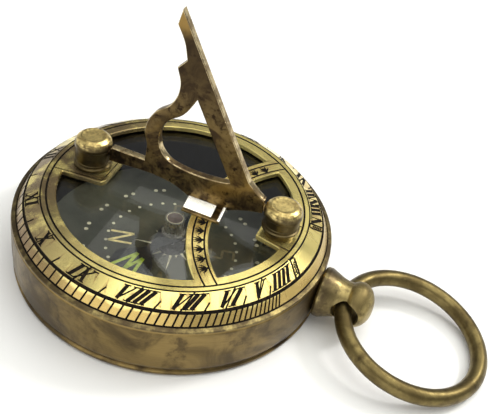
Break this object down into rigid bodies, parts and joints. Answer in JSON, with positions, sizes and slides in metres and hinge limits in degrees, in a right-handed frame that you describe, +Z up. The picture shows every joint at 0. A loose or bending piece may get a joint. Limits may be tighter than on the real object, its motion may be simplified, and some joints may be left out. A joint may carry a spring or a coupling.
{
  "type": "pocket sundial compass",
  "caption": "Antique brass pocket sundial: round drum case, pierced hour dial over a glazed compass, folding gnomon between two posts, and a pendant knob with a bow ring.",
  "frame": {"origin": "centre of the base cover's flat underside", "axes": "+X towards the pendant and bow ring (the dial's south), +Z up out of the dial, +Y the afternoon side (west when set)"},
  "size_m": [0.0901, 0.058, 0.0512],
  "materials": {
    "base_cover": "brushed antique brass with brown patina",
    "bow_ring": "brushed antique brass with brown patina",
    "case_body": "brushed antique brass with brown patina",
    "compass_bowl": "brushed antique brass with brown patina",
    "compass_card": "matt black printed card",
    "compass_needle": "blued steel with a pale green luminous mark",
    "dial_plate": "polished antique brass, worn bright, black-filled engraving",
    "glass_gasket": "thin black gasket",
    "glass_retaining_ring": "polished antique brass, worn bright, black-filled engraving",
    "gnomon_foot": "mottled dark bronze patina with bright worn edges",
    "gnomon_plate": "mottled dark bronze patina with bright worn edges",
    "hub_cap": "clear moulded cap",
    "jewel_cup": "polished antique brass, worn bright, black-filled engraving",
    "north_pivot_pin": "brushed antique brass with brown patina",
    "north_post": "polished antique brass, worn bright, black-filled engraving",
    "north_post_screw": "polished antique brass, worn bright, black-filled engraving",
    "pendant_knob": "brushed antique brass with brown patina",
    "pendant_screw": "plain turned steel",
    "pendant_washer": "plain turned steel",
    "pivot_boss": "polished antique brass, worn bright, black-filled engraving",
    "pivot_pin": "plain turned steel",
    "south_pivot_pin": "brushed antique brass with brown patina",
    "south_post": "polished antique brass, worn bright, black-filled engraving",
    "south_post_screw": "polished antique brass, worn bright, black-filled engraving",
    "window_glass": "clear flat glass"
  },
  "bodies": {
    "case": {"base_cover": "base_cover", "case_body": "case_body", "compass_bowl": "compass_bowl", "compass_card": "compass_card", "dial_plate": "dial_plate", "glass_gasket": "glass_gasket", "glass_retaining_ring": "glass_retaining_ring", "north_post": "north_post", "north_post_screw": "north_post_screw", "pendant_knob": "pendant_knob", "pendant_screw": "pendant_screw", "pendant_washer": "pendant_washer", "pivot_boss": "pivot_boss", "pivot_pin": "pivot_pin", "south_post": "south_post", "south_post_screw": "south_post_screw", "window_glass": "window_glass"},
    "gnomon": {"gnomon_plate": "gnomon_plate", "gnomon_foot": "gnomon_foot", "north_pivot_pin": "north_pivot_pin", "south_pivot_pin": "south_pivot_pin"},
    "needle": {"compass_needle": "compass_needle", "hub_cap": "hub_cap", "jewel_cup": "jewel_cup"},
    "bow": {"bow_ring": "bow_ring"}
  },
  "joints": [
    {"name": "gnomon_fold", "type": "hinge", "parent": "case", "child": "gnomon", "pos_m": [0, 0, 0.0194], "axis": [-1, 0, 0], "range_deg": [0, 96]},
    {"name": "bow_swing", "type": "hinge", "parent": "case", "child": "bow", "pos_m": [0.0347, 0, 0.0058], "axis": [0, -1, 0], "range_deg": [-118, 136]},
    {"name": "needle_spin", "type": "hinge", "parent": "case", "child": "needle", "pos_m": [0, 0, 0.0056], "axis": [0, 0, 1], "continuous": true}
  ]
}
